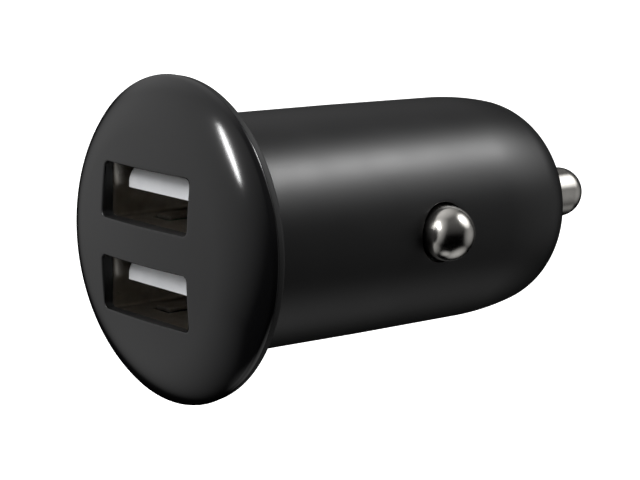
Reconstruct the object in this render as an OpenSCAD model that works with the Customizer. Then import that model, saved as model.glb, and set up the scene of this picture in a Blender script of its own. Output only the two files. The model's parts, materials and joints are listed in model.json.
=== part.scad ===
// Stubby two-port charger plug for a car's 12 V power socket.
// The plug lies along X: the round face with the two ports looks to -X, the barrel goes into
// the socket towards +X. The origin is the middle of the flange's back plane, which is where
// the plug stops against the socket's rim.

/* [Flange and face cap] */
// Largest diameter, of the flange at the plug's outer end
flange_d = 28.3; // [27:0.1:30]
// Radius of the shallow dome of the face
face_dome_r = 57.5; // [50:0.5:70]
// Width of the rounded shoulder, from the edge of the dome to the rim
shoulder_w = 4.55; // [4.4:0.05:5]
// Radius of the rounded shoulder between face and rim
shoulder_r = 7.5; // [7.2:0.1:8]
// Radius of the last rounding at the rim
rim_r = 0.8; // [0.6:0.1:0.9]
// Straight part of the cap's rim behind the rounding
rim_straight = 0.06; // [0.02:0.02:0.3]
// Wall thickness of the face cap
cap_wall = 1.5; // [1.3:0.1:1.7]
// Hairline gap between the face cap and the barrel's lip
parting_gap = 0.05; // [0.02:0.01:0.1]

/* [Barrel] */
// Outer diameter of the barrel, as the common size of car power socket takes
barrel_d = 20.8; // [20.7:0.05:20.9]
// Length of the cylindrical stretch behind the flange, which guides the plug in the socket
guide_len = 17; // [15:0.5:17.5]
// How much the radius shrinks from the guiding stretch to the nose, as moulding draft
barrel_draft = 0.1; // [0.06:0.01:0.15]
// Length of the barrel from the flange to the flat end of its nose
nose_len = 39.6; // [39:0.1:40.5]
// Length over which the nose narrows, from the barrel's end to its flat
nose_taper_len = 10.8; // [9.6:0.1:11.2]
// Radius of the nose's corner
nose_corner_r = 6.0; // [5.5:0.1:6.2]
// Radius of the flat end of the nose
nose_flat_r = 3.8; // [3.6:0.1:4]
// Wall thickness of the barrel
barrel_wall = 0.9; // [0.85:0.05:0.95]
// Wall thickness at the end of the nose
nose_wall = 1.4; // [1.2:0.1:1.8]
// Thickness of the barrel's own lip behind the face cap
lip_t = 0.75; // [0.6:0.05:1]
// Rounding of the lip's rear edge
lip_edge_r = 0.3; // [0.2:0.05:0.4]

/* [Ports] */
// Width of each port's opening in the face
slot_w = 12.2; // [12.1:0.05:12.4]
// Height of each port's opening in the face
slot_h = 4.75; // [4.7:0.05:4.9]
// Corner radius of the openings
slot_corner_r = 0.5; // [0.3:0.1:0.8]
// Distance between the middles of the two ports
port_pitch = 8.1; // [7.9:0.05:8.2]
// Height of the middle of the pair of ports
port_mid_z = -0.1; // [-0.15:0.05:0]
// Length of a socket's metal shell
shell_len = 13.4; // [13.2:0.1:13.6]
// Sheet thickness of a socket's metal shell
shell_t = 0.3; // [0.25:0.01:0.3]
// Distance of the tongue's front end behind the shell's mouth
tongue_recess = 1.0; // [0.8:0.1:1.4]

/* [Contacts] */
// Diameter of the tip contact
tip_d = 4.8; // [4.6:0.1:5]
// Distance of the tip's end in front of the nose
tip_reach = 8.1; // [7.5:0.1:8.5]
// How far the tip contact goes in
tip_travel = 2.4; // [2:0.1:2.4]
// Place of the side contacts along the barrel
ground_x = 20.8; // [20.4:0.1:21.2]
// Diameter of the domed side contacts
ground_d = 4.9; // [4.6:0.1:5]
// Height of a side contact's end above the barrel
ground_reach = 2.7; // [2.5:0.1:2.8]
// How far a side contact goes in
ground_travel = 2.7; // [2.5:0.1:2.8]
// Clearance around a side contact in its hole
ground_gap = 0.25; // [0.2:0.05:0.3]

/* [Electronics] */
// Air between a socket's shell and the circuit board that lies between the two shells
board_gap = 0.19; // [0.15:0.01:0.3]
// Half of the width of the circuit board's wide part
board_half_w = 7.2; // [6.8:0.1:7.4]
// Diameter of the two electrolytic capacitors
capacitor_d = 5.0; // [4.6:0.1:5]
// Diameter of the inductor's drum core
inductor_d = 5.8; // [5.4:0.1:5.8]

/* [Hidden] */
$fn = 96;
eps = 0.01;
seat = 0.02;          // air left where one piece rests on another
hair = 0.05;          // air left between pieces that stay together
fit_gap = 0.1;        // clearance of moulded pieces that slip into one another
big = 60;             // longer than the whole plug

barrel_r = barrel_d / 2;
bore_r = barrel_r - barrel_wall;
flange_r = flange_d / 2;
lip_step = 0.1;       // the lip is this much smaller than the cap
lip_r = flange_r - lip_step;
ring_t = 0.8;         // the low ring on the lip that centres the cap
ring_h = 0.8;

// Face cap: dome, shoulder and rim are tangent arcs. Places are counted from the dome's middle.
shoulder_start_r = flange_r - shoulder_w;
shoulder_start_angle = asin(shoulder_start_r / face_dome_r);
shoulder_c_r = (face_dome_r - shoulder_r) * sin(shoulder_start_angle);
shoulder_c_depth = face_dome_r - (face_dome_r - shoulder_r) * cos(shoulder_start_angle);
rim_c_r = flange_r - rim_r;
rim_c_depth = shoulder_c_depth
    - sqrt(pow(shoulder_r - rim_r, 2) - pow(rim_c_r - shoulder_c_r, 2));
cap_back_x = -lip_t - parting_gap;
face_x = cap_back_x - rim_straight - rim_c_depth;
dome_c_x = face_x + face_dome_r;
shoulder_c_x = face_x + shoulder_c_depth;
rim_c_x = face_x + rim_c_depth;
cap_inner_r = flange_r - cap_wall;
collar_start = 1.0;   // from the face's middle to where the collars round the shells begin
collar_end_gap = 0.25;
collar_wall = 0.9;
collar_corner_r = 1.4;

// Nose: a long lead-in arc, then the corner, both tangent
straight_len = nose_len - nose_taper_len;
nose_base_r = barrel_r - barrel_draft;
nose_drop = nose_base_r - nose_flat_r;
corner_x = nose_len - nose_corner_r;
lead_r = (pow(corner_x - straight_len, 2) + pow(nose_drop, 2) - pow(nose_corner_r, 2))
    / (2 * (nose_drop - nose_corner_r));
lead_slope = (corner_x - straight_len) / (lead_r - nose_corner_r);

// Sockets: the standard sizes of the flat four-contact charging socket
shell_in_w = 12.5;
shell_in_h = 5.12;
shell_out_w = shell_in_w + 2 * shell_t;
shell_out_h = shell_in_h + 2 * shell_t;
shell_corner_r = 0.6;
shell_drop = 0.05;    // the shells sit this much lower than the openings
mouth_depth = 1.6;    // from the face's middle to the shell's mouth
shell_x = face_x + mouth_depth;
shell_end_x = shell_x + shell_len;
tongue_w = 11.1;
tongue_t = 1.84;
tongue_gap = 0.66;    // from the shell's ceiling to the tongue
tongue_x = shell_x + tongue_recess;
block_len = 2.8;      // the moulded block that closes the shell's rear
block_x = shell_end_x - block_len - seat;
finger_len = 5.8;
finger_w = 2.0;
finger_y = 3.1;
finger_angle = 3.5;
finger_root_x = shell_end_x - 4.4;
upper_z = port_mid_z + port_pitch / 2;
lower_z = port_mid_z - port_pitch / 2;
upper_shell_z = upper_z - shell_drop;
lower_shell_z = lower_z - shell_drop;
pin_ys = [-3.5, -1.0, 1.0, 3.5];
pin_w = 1.0;
pin_t = 0.3;
pin_leg_w = 0.6;
pin_front_x = tongue_x + 0.8;
pin_tail = 0.4;       // how far a pin's leg stands out of the board
upper_leg_x = shell_end_x + 0.5;
lower_leg_x = shell_end_x + 1.8;
shell_leg_w = 2.4;
upper_shell_leg_x = shell_end_x - 4.0;
lower_shell_leg_x = shell_end_x - 8.0;

// Tip contact and its spring. The room behind the tip's head holds the pressed spring, what is
// left of its travel and the tip's own travel.
tip_r = tip_d / 2;
tip_hole_r = tip_r + 0.15;
tip_end_x = nose_len + tip_reach;
tip_head_r = 3.3;
tip_head_t = 1.0;
guide_x = nose_len - 4.0;
guide_r = 3.5;
tip_head_x = guide_x - hair - tip_head_t;
tip_stub_r = 1.5;
tip_stub_len = 1.5;
terminal_t = 0.4;
spring_turns = 5;
spring_wire_r = 0.25;
spring_r = 2.3;
spring_spare = 0.98;
spring_len = tip_travel + (spring_turns + 0.5) * 2 * spring_wire_r + spring_spare;
spring_x = tip_head_x - seat - spring_len;
terminal_x = spring_x - terminal_t;

// Side contacts and their leaf springs
ground_r = ground_d / 2;
ground_end = barrel_r + ground_reach;
ground_dome_c = ground_end - ground_r;
ground_hole_r = ground_r + ground_gap;
ground_boss_r = 3.9;
ground_boss_y = 8.6;
ground_flange_r = 3.3;
ground_flange_t = 0.65;
ground_flange_y = ground_boss_y - hair - ground_flange_t;
rivet_r = 1.0;
rivet_len = 0.6;
rivet_end_y = ground_flange_y - rivet_len;
leaf_t = 0.35;
leaf_y = ground_flange_y - hair - leaf_t;
leaf_w = 4.2;
leaf_x = shell_end_x + 0.4;
leaf_end_x = ground_x + 3.4;
leaf_foot_len = 2.5;

// Circuit board: a wide part between the sockets and a narrow tail, which leaves room for the
// side contacts' travel
board_t = port_pitch - shell_out_h - 2 * board_gap;
board_z = (upper_shell_z + lower_shell_z) / 2;
board_top = board_z + board_t / 2;
board_bottom = board_z - board_t / 2;
board_x = shell_x + 2.6;
board_end_x = terminal_x - hair;
board_len = board_end_x - board_x;
tail_x = shell_end_x + 4.0;
tail_gap = 0.4;
tail_half_w = rivet_end_y - ground_travel - tail_gap;
leaf_foot_y = tail_half_w + 0.5;

// Snap arms of the face cap and their groove in the barrel
arm_t = 1.0;
arm_gap = 0.15;
arm_r = bore_r - arm_gap;
arm_start = 2.0;      // from the face's middle to where the arms grow out of the cap's inside
arm_end_x = 4.6;
arm_w = 5.6;
hook_x = 3.3;
hook_len = 0.9;
hook_h = 0.4;
groove_depth = 0.4;

// Parts on the board: the tall ones stand in a row in front of the tip's terminal, the small
// ones lie behind the sockets and on both sides of the terminal's foot
terminal_foot_len = 1.6;
part_gap = 0.3;
input_capacitor_h = 7.0;
output_capacitor_h = 5.4;
inductor_h = 4.6;
inductor_x = terminal_x - terminal_foot_len - part_gap - inductor_d / 2;
output_capacitor_x = terminal_x - terminal_foot_len - part_gap - capacitor_d / 2;
input_capacitor_x = inductor_x - inductor_d / 2 - part_gap - capacitor_d / 2;
capacitor_lead_r = 0.25;
lead_hole_r = capacitor_lead_r + 0.1;
lead_pitch = 2.0;
core_flange_t = 0.8;
winding_gap = 0.15;
winding_turns = 5;
winding_wire = (inductor_h - 2 * core_flange_t - 2 * winding_gap) / winding_turns;
winding_r = inductor_d / 2 - 0.45;
converter_l = 4.9;
converter_w = 3.9;
converter_h = 1.4;
converter_span = 6.0;
converter_lead_w = 0.42;
converter_lead_pitch = 1.27;
converter_x = output_capacitor_x - capacitor_d / 2 - 2 * part_gap - converter_l / 2;
identifier_l = 2.9;
identifier_w = 1.5;
identifier_h = 1.0;
identifier_span = 2.7;
identifier_lead_w = 0.38;
identifier_lead_pitch = 0.95;
identifier_x = tail_x - part_gap - identifier_l / 2;
chip_lead_t = 0.2;
chip_stand_off = 0.15;
edge_row_y = board_half_w - 1.5;
chip_l = 2.0;
chip_w = 1.25;
chip_h = 0.6;
chip_end_l = 0.35;
chip_plate = 0.03;
chip_front_x = shell_end_x + 1.3;
chip_rear_x = chip_front_x + chip_w + 0.65;
chip_tail_x = board_end_x - 1.35;
chip_tail_y = tail_half_w - 1.2;

// Turns an outline drawn as [distance from the axis, place along X] around the plug's axis
module around_x() {
    rotate([0, 90, 0]) rotate_extrude() children();
}

// Extrudes an outline drawn as [y, z] along X
module along_x(x, len) {
    translate([x, 0, 0]) rotate([90, 0, 90]) linear_extrude(len) children();
}

// Rectangle with round corners, middle at the origin
module rounded_rect(w, h, r) {
    square([w, h - 2 * r], center = true);
    square([w - 2 * r, h], center = true);
    for (sy = [-1, 1], sz = [-1, 1])
        translate([sy * (w / 2 - r), sz * (h / 2 - r)]) circle(r, $fn = 32);
}

// Half outline of the face cap, a distance inside its outer surface. The shoulder's disc lies
// inside the dome's, so its share starts at the axis and the two lie over each other.
module cap_outline(inset, rim) {
    intersection() {
        union() {
            intersection() {
                translate([0, dome_c_x]) circle(face_dome_r - inset, $fn = 720);
                polygon([[0, dome_c_x], [0, face_x - 1],
                    [(dome_c_x - face_x + 1) * tan(shoulder_start_angle), face_x - 1]]);
            }
            intersection() {
                translate([shoulder_c_r, shoulder_c_x]) circle(shoulder_r - inset, $fn = 180);
                polygon([
                    [shoulder_c_r, shoulder_c_x],
                    [0, shoulder_c_x],
                    [0, face_x - shoulder_r],
                    [2 * flange_r, face_x - shoulder_r],
                    [shoulder_c_r + 3 * (rim_c_r - shoulder_c_r),
                     shoulder_c_x + 3 * (rim_c_x - shoulder_c_x)]]);
            }
            if (inset == 0) {
                translate([rim_c_r, rim_c_x]) circle(rim_r);
                polygon([[shoulder_c_r, cap_back_x], [rim_c_r, rim_c_x],
                    [flange_r, rim_c_x], [flange_r, cap_back_x]]);
            }
        }
        translate([0, face_x - 1]) square([rim, cap_back_x - face_x + 1]);
    }
}

// Block that fills one snap arm: a slice of a tube, pointing up before it is turned
module snap_arm(turn) {
    rotate([turn, 0, 0]) intersection() {
        around_x() {
            translate([arm_r - arm_t, face_x + arm_start])
                square([arm_t, arm_end_x - face_x - arm_start]);
            polygon([[arm_r - arm_t / 2, hook_x], [arm_r + hook_h, hook_x],
                [arm_r + hook_h, hook_x + hook_len / 2], [arm_r, arm_end_x],
                [arm_r - arm_t / 2, arm_end_x]]);
        }
        translate([-big / 2, -arm_w / 2, 0]) cube([big, arm_w, big]);
    }
}

module port_collar(z) {
    along_x(face_x + collar_start, cap_back_x - collar_end_gap - face_x - collar_start)
        translate([0, z])
            rounded_rect(shell_out_w + 2 * collar_wall, shell_out_h + 2 * collar_wall, collar_corner_r);
}

module face_cap() {
    color("#232324") difference() {
        union() {
            difference() {
                around_x() cap_outline(0, flange_r);
                around_x() cap_outline(cap_wall, cap_inner_r);
                along_x(cap_back_x - 1, 2) circle(cap_inner_r);
            }
            intersection() {
                around_x() cap_outline(0.5, cap_inner_r);
                union() {
                    port_collar(upper_shell_z);
                    port_collar(lower_shell_z);
                }
            }
            for (turn = [0, 90, 180, 270]) snap_arm(turn);
        }
        for (z = [upper_z, lower_z])
            along_x(face_x - 1, big) translate([0, z]) rounded_rect(slot_w, slot_h, slot_corner_r);
        for (z = [upper_shell_z, lower_shell_z])
            along_x(shell_x - fit_gap, big) translate([0, z])
                rounded_rect(shell_out_w + 2 * fit_gap, shell_out_h + 2 * fit_gap, shell_corner_r);
    }
}

// Half outline of the nose, a distance inside its outer surface: the lead-in arc, then the
// corner, which starts a little early so that the two lie over each other
module nose_outline(inset, front) {
    lead_end_x = corner_x + (nose_corner_r - inset) * lead_slope;
    corner_start_x = lead_end_x - 0.3;
    intersection() {
        translate([nose_base_r - lead_r, straight_len]) circle(lead_r - inset, $fn = 360);
        translate([0, straight_len]) square([barrel_r, lead_end_x - straight_len]);
    }
    intersection() {
        union() {
            translate([nose_flat_r, corner_x]) circle(nose_corner_r - inset, $fn = 180);
            translate([0, corner_x]) square([nose_flat_r, nose_corner_r]);
        }
        translate([0, corner_start_x]) square([barrel_r, nose_len - front - corner_start_x]);
    }
}

// Outside of the barrel: a cylinder that guides the plug, then a stretch with moulding draft
module barrel_outline() {
    square([barrel_r, guide_len]);
    polygon([[0, guide_len], [barrel_r, guide_len], [nose_base_r, straight_len], [0, straight_len]]);
    nose_outline(0, 0);
}

// Inside of the barrel: a straight bore, then the nose one wall thickness in
module bore_outline() {
    square([bore_r, straight_len]);
    nose_outline(barrel_wall - barrel_draft, nose_wall);
}

module lip_outline() {
    translate([0, -lip_t]) square([lip_r, lip_t - lip_edge_r]);
    translate([0, -lip_t]) square([lip_r - lip_edge_r, lip_t]);
    translate([lip_r - lip_edge_r, -lip_edge_r]) circle(lip_edge_r, $fn = 48);
    // low ring that centres the face cap
    translate([cap_inner_r - fit_gap - ring_t, -lip_t - ring_h]) square([ring_t, ring_h + lip_t / 2]);
}

module barrel() {
    rail_len = 5;
    rail_x = leaf_x - part_gap - rail_len;
    rail_t = 1.0;
    rail_y = board_half_w - 0.45;
    root = 0.2;           // how far rails and pads reach into the wall
    color("#1b1b1c") difference() {
        union() {
            around_x() difference() {
                union() {
                    barrel_outline();
                    lip_outline();
                }
                bore_outline();
                translate([0, -lip_t - 1]) square([bore_r, lip_t + 2]);
            }
            // rails that hold the board's edges
            for (side = [-1, 1], z = [board_top + fit_gap, board_bottom - fit_gap - rail_t])
                translate([rail_x, side > 0 ? rail_y : -bore_r - root, z])
                    cube([rail_len, bore_r + root - rail_y, rail_t]);
            // pads inside the side holes
            intersection() {
                for (side = [-1, 1])
                    translate([ground_x, side * ground_boss_y, 0]) rotate([-90 * side, 0, 0])
                        cylinder(r = ground_boss_r, h = barrel_r - ground_boss_y);
                along_x(0, straight_len) circle(bore_r + root);
            }
            // guide tube of the tip contact
            along_x(guide_x, nose_len - guide_x - nose_wall / 2) circle(guide_r);
        }
        along_x(guide_x - 1, big) circle(tip_hole_r);
        translate([ground_x, 0, 0]) rotate([90, 0, 0])
            cylinder(r = ground_hole_r, h = big, center = true);
        along_x(hook_x - fit_gap, hook_len + 6 * fit_gap) difference() {
            circle(bore_r + groove_depth);
            circle(bore_r - eps);
        }
    }
}

module tip_contact() {
    color("#c9c5bd") around_x() {
        translate([0, tip_head_x]) square([tip_head_r, tip_head_t]);
        translate([0, tip_head_x - tip_stub_len]) square([tip_stub_r, tip_stub_len + eps]);
        translate([0, tip_head_x]) square([tip_r, tip_end_x - tip_r - tip_head_x]);
        intersection() {
            translate([0, tip_end_x - tip_r]) circle(tip_r);
            square([tip_r, tip_end_x]);
        }
    }
}

// Section of the spring's wire: eight flats, so that the half turns meet edge on edge
module wire_section() {
    sides = 8;
    rotate(180 / sides) circle(spring_wire_r, $fn = sides);
}

// Coil of flat half turns, each joined to the next by a tilted half turn. It starts and ends
// with a flat half turn, so it stands square on its seats.
module tip_spring() {
    rise = (spring_len - 2 * spring_wire_r) / spring_turns;
    tilt = atan(rise / 2 / spring_r);
    color("#b9bcc0") translate([spring_x + spring_wire_r, 0, 0]) rotate([0, 90, 0]) {
        for (turn = [0 : spring_turns])
            translate([0, 0, turn * rise])
                rotate_extrude(angle = 180)
                    translate([spring_r, 0]) wire_section();
        for (turn = [0 : spring_turns - 1])
            translate([0, 0, (turn + 0.5) * rise]) rotate([0, -tilt, 0]) rotate([0, 0, 180])
                rotate_extrude(angle = 180)
                    translate([spring_r / cos(tilt), 0]) wire_section();
    }
}

// Plate at the board's end that the tip's spring stands on, with a foot on each side of the board
module tip_terminal() {
    plate_h = 6.6;
    boss_h = 0.8;
    foot_w = 3.6;
    color("#c8a24a") {
        along_x(terminal_x, terminal_t) rounded_rect(plate_h, plate_h, 1.2);
        along_x(terminal_x, terminal_t + boss_h) circle(spring_r - 2 * spring_wire_r);
        for (z = [board_top + seat, board_bottom - seat - terminal_t])
            translate([terminal_x - terminal_foot_len, -foot_w / 2, z])
                cube([terminal_foot_len + eps, foot_w, terminal_t]);
    }
}

module ground_button(side) {
    color("#c9c5bd") translate([ground_x, 0, 0]) rotate([-90 * side, 0, 0]) rotate_extrude() {
        translate([0, rivet_end_y]) square([rivet_r, rivet_len + eps]);
        translate([0, ground_flange_y]) square([ground_flange_r, ground_flange_t]);
        translate([0, ground_flange_y]) square([ground_r, ground_dome_c - ground_flange_y]);
        intersection() {
            translate([0, ground_dome_c]) circle(ground_r);
            square([ground_r, ground_end]);
        }
    }
}

// Leaf spring behind a side contact, soldered to the board by a foot bent inwards
module ground_leaf(side) {
    color("#b9bcc0") mirror([0, side > 0 ? 0 : 1, 0]) difference() {
        union() {
            translate([leaf_x, leaf_y, -leaf_w / 2]) cube([leaf_end_x - leaf_x, leaf_t, leaf_w]);
            translate([leaf_x, leaf_foot_y, board_top + seat])
                cube([leaf_foot_len, leaf_y - leaf_foot_y + eps, leaf_t]);
        }
        translate([ground_x, leaf_y - 1, 0]) rotate([-90, 0, 0])
            cylinder(r = rivet_r + hair, h = 2);
    }
}

module circuit_board() {
    pin_hole_r = 0.45;
    slit_gap = 0.15;
    color("#1f5a34") difference() {
        translate([board_x, 0, board_bottom]) {
            translate([0, -board_half_w, 0]) cube([tail_x - board_x, 2 * board_half_w, board_t]);
            translate([0, -tail_half_w, 0]) cube([board_len, 2 * tail_half_w, board_t]);
        }
        for (y = pin_ys, x = [upper_leg_x, lower_leg_x])
            translate([x + pin_t / 2, y, board_bottom - 1])
                cylinder(r = pin_hole_r, h = board_t + 2, $fn = 24);
        for (x = [upper_shell_leg_x, lower_shell_leg_x], side = [-1, 1])
            translate([x - slit_gap, side * (shell_out_w - shell_t) / 2 - shell_t / 2 - slit_gap,
                    board_bottom - 1])
                cube([shell_leg_w + 2 * slit_gap, shell_t + 2 * slit_gap, board_t + 2]);
        for (x = [input_capacitor_x, output_capacitor_x], side = [-1, 1])
            translate([x, side * lead_pitch / 2, board_bottom - 1])
                cylinder(r = lead_hole_r, h = board_t + 2, $fn = 24);
    }
}

// Folded sheet shell of one socket. Its legs go into the board: down from the upper socket,
// up from the lower one.
module socket_shell(z, leg_x, leg_dir) {
    far_face = leg_dir < 0 ? board_bottom + hair : board_top - hair;
    window_gap = 0.25;
    finger_lead = 0.4;    // air in front of a finger's free end
    color("#b4b0a8") difference() {
        union() {
            along_x(shell_x, shell_len) translate([0, z]) difference() {
                rounded_rect(shell_out_w, shell_out_h, shell_corner_r);
                rounded_rect(shell_in_w, shell_in_h, shell_corner_r - shell_t);
            }
            for (side = [-1, 1])
                translate([leg_x, side > 0 ? shell_out_w / 2 - shell_t : -shell_out_w / 2,
                        min(z, far_face)])
                    cube([shell_leg_w, shell_t, abs(far_face - z)]);
        }
        for (face = [-1, 1], y = [-finger_y, finger_y])
            translate([finger_root_x - finger_len - finger_lead, y - finger_w / 2 - window_gap,
                    z + face * (shell_in_h + shell_t) / 2 - shell_t])
                cube([finger_len + finger_lead, finger_w + 2 * window_gap, 2 * shell_t]);
    }
    color("#b4b0a8")
        for (face = [-1, 1], y = [-finger_y, finger_y])
            translate([finger_root_x, y - finger_w / 2, z + face * (shell_in_h + shell_t) / 2])
                rotate([0, -face * finger_angle, 0]) translate([-finger_len, 0, -shell_t / 2])
                    cube([finger_len + 0.3, finger_w, shell_t]);
}

// Moulded tongue with the block that closes the shell's rear, and grooves for the four pins
module socket_tongue(z) {
    ceiling = z + shell_in_h / 2;
    tongue_z = ceiling - tongue_gap - tongue_t;
    color("#e9e6de") difference() {
        union() {
            along_x(block_x, block_len) translate([0, z])
                rounded_rect(shell_in_w - fit_gap, shell_in_h - fit_gap, 0.3);
            along_x(tongue_x, block_x - tongue_x + eps) translate([0, tongue_z + tongue_t / 2])
                rounded_rect(tongue_w, tongue_t, 0.4);
        }
        for (y = pin_ys)
            translate([pin_front_x - seat, y - pin_w / 2 - seat, tongue_z - 1])
                cube([big, pin_w + 2 * seat, 1 + pin_t / 2 + seat]);
    }
}

// Contact pin: a strip along the tongue's underside, then a leg through the board
module socket_pin(z, y, leg_x, leg_dir) {
    pin_z = z + shell_in_h / 2 - tongue_gap - tongue_t - pin_t / 2;
    leg_end = leg_dir < 0 ? board_bottom - pin_tail : board_top + pin_tail;
    color("#d8b45a") {
        translate([pin_front_x, y - pin_w / 2, pin_z])
            cube([shell_end_x - pin_front_x, pin_w, pin_t]);
        translate([shell_end_x - eps, y - pin_leg_w / 2, pin_z])
            cube([leg_x + pin_t - shell_end_x + eps, pin_leg_w, pin_t]);
        translate([leg_x, y - pin_leg_w / 2, min(pin_z, leg_end)])
            cube([pin_t, pin_leg_w, abs(leg_end - pin_z) + (leg_dir < 0 ? pin_t : 0)]);
    }
}

// Electrolytic capacitor that stands on the board: grooved can and two leads
module capacitor(x, height, up) {
    groove_r = 0.35;
    groove_z = 1.1;
    color("#2b3a55") translate([x, 0, up ? board_top + seat : board_bottom - seat])
        mirror([0, 0, up ? 0 : 1]) {
            rotate_extrude() difference() {
                square([capacitor_d / 2, height]);
                translate([capacitor_d / 2 + 0.1, groove_z]) circle(groove_r, $fn = 32);
            }
            for (side = [-1, 1])
                translate([0, side * lead_pitch / 2, -board_t])
                    cylinder(r = capacitor_lead_r, h = board_t + eps, $fn = 24);
        }
}

module inductor_core() {
    color("#3a3a3c") translate([inductor_x, 0, board_top + seat]) {
        cylinder(r = inductor_d / 2, h = core_flange_t);
        cylinder(r = inductor_d / 4, h = inductor_h);
        translate([0, 0, inductor_h - core_flange_t])
            cylinder(r = inductor_d / 2, h = core_flange_t);
    }
}

// Copper winding between the core's flanges, its outer turns showing as ridges
module inductor_winding() {
    height = winding_turns * winding_wire;
    color("#b5652b") translate([inductor_x, 0, board_top + seat + core_flange_t + winding_gap])
        rotate_extrude() {
            difference() {
                square([winding_r, height]);
                translate([0, -1]) square([inductor_d / 4 + hair, height + 2]);
            }
            for (turn = [0 : winding_turns - 1])
                translate([winding_r, (turn + 0.5) * winding_wire])
                    circle(winding_wire / 2, $fn = 32);
        }
}

// Moulded chip with bent leads along both long sides, on the board's underside
module leaded_chip(x, y, size, span, lead_w, lead_pitch, leads) {
    foot_len = 0.6;
    shoulder_z = size[2] / 2 + chip_stand_off;
    color("#262626") translate([x, y, board_bottom - seat]) mirror([0, 0, 1]) {
        translate([-size[0] / 2, -size[1] / 2, chip_stand_off]) cube(size);
        for (lead = [0 : leads - 1], side = [0, 1])
            mirror([0, side, 0])
                translate([(lead - (leads - 1) / 2) * lead_pitch - lead_w / 2, 0, 0]) {
                    translate([0, span / 2 - foot_len, 0]) cube([lead_w, foot_len, chip_lead_t]);
                    translate([0, span / 2 - foot_len, 0]) cube([lead_w, chip_lead_t, shoulder_z]);
                    translate([0, size[1] / 2 - chip_lead_t, shoulder_z - chip_lead_t])
                        cube([lead_w, (span - size[1]) / 2 - foot_len + 2 * chip_lead_t, chip_lead_t]);
                }
    }
}

module converter_chip() {
    leaded_chip(converter_x, 0, [converter_l, converter_w, converter_h], converter_span,
        converter_lead_w, converter_lead_pitch, 4);
}

module identification_chip() {
    leaded_chip(identifier_x, edge_row_y, [identifier_l, identifier_w, identifier_h],
        identifier_span, identifier_lead_w, identifier_lead_pitch, 3);
}

// Block-shaped chip part with plated ends, soldered flat on the board
module chip_part(x, y, up, tint) {
    translate([x, y, up ? board_top + seat : board_bottom - seat]) mirror([0, 0, up ? 0 : 1]) {
        color(tint) translate([-chip_w / 2, -chip_l / 2, chip_plate]) cube([chip_w, chip_l, chip_h]);
        color("#c9c9c9")
            for (end = [-chip_l / 2 - chip_plate, chip_l / 2 + chip_plate - chip_end_l])
                translate([-chip_w / 2 - chip_plate, end, 0])
                    cube([chip_w + 2 * chip_plate, chip_end_l, chip_h + 2 * chip_plate]);
    }
}

face_cap();
barrel();
tip_contact();
tip_spring();
tip_terminal();
ground_button(1);  // ground_button_left
ground_button(-1);  // ground_button_right
ground_leaf(1);  // ground_leaf_left
ground_leaf(-1);  // ground_leaf_right
circuit_board();
socket_shell(upper_shell_z, upper_shell_leg_x, -1);  // upper_socket_shell
socket_shell(lower_shell_z, lower_shell_leg_x, 1);  // lower_socket_shell
socket_tongue(upper_shell_z);  // upper_socket_tongue
socket_tongue(lower_shell_z);  // lower_socket_tongue
for (i = [0 : len(pin_ys) - 1]) {
    socket_pin(upper_shell_z, pin_ys[i], upper_leg_x, -1);
    socket_pin(lower_shell_z, pin_ys[i], lower_leg_x, 1);
}
capacitor(input_capacitor_x, input_capacitor_h, true);  // input_capacitor
capacitor(output_capacitor_x, output_capacitor_h, false);  // output_capacitor
inductor_core();
inductor_winding();
converter_chip();
identification_chip();
chip_part(chip_front_x, -edge_row_y, false, "#b08a5a");  // chip_capacitor_1
chip_part(chip_rear_x, -edge_row_y, false, "#b08a5a");  // chip_capacitor_2
chip_part(chip_tail_x, chip_tail_y, true, "#1c1c1e");  // chip_resistor_1
chip_part(chip_tail_x, -chip_tail_y, true, "#1c1c1e");  // chip_resistor_2
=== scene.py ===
# %% [markdown]
# # Dressing a car charger plug
# A small plug for a car's power socket has two charging ports in a round face, a smooth barrel, a
# sprung tip in its nose and a sprung domed contact on each side. Its exact solids come packed from
# CAD, so the first step loads them as a fixed frame, and every piece made below goes where its
# solid is.

# %% Load the imported plug
import json
import math
import bpy
import bmesh
import numpy as np
from mathutils import Matrix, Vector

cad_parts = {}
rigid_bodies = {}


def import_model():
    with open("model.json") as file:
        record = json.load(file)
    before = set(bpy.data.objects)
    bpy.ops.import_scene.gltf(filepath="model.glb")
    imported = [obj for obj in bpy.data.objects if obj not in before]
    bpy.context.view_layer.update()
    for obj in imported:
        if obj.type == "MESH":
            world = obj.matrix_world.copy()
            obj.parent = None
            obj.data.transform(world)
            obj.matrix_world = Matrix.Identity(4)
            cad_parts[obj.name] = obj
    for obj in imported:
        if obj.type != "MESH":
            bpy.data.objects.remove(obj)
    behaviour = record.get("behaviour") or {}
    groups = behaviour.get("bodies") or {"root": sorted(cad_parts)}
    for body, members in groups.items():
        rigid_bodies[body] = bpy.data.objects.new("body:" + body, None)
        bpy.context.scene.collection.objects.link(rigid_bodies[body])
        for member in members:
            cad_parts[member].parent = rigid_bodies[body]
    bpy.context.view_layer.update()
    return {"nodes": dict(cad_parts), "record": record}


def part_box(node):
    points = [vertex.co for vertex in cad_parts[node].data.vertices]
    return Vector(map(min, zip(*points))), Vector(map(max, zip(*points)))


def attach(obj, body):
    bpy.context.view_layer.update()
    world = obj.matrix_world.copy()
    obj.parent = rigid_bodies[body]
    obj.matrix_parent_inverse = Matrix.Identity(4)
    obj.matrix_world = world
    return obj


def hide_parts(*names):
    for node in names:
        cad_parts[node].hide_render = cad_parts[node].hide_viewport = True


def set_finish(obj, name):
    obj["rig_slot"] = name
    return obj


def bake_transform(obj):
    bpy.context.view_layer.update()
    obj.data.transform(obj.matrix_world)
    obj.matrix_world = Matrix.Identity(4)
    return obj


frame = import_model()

MM = 0.001

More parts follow.
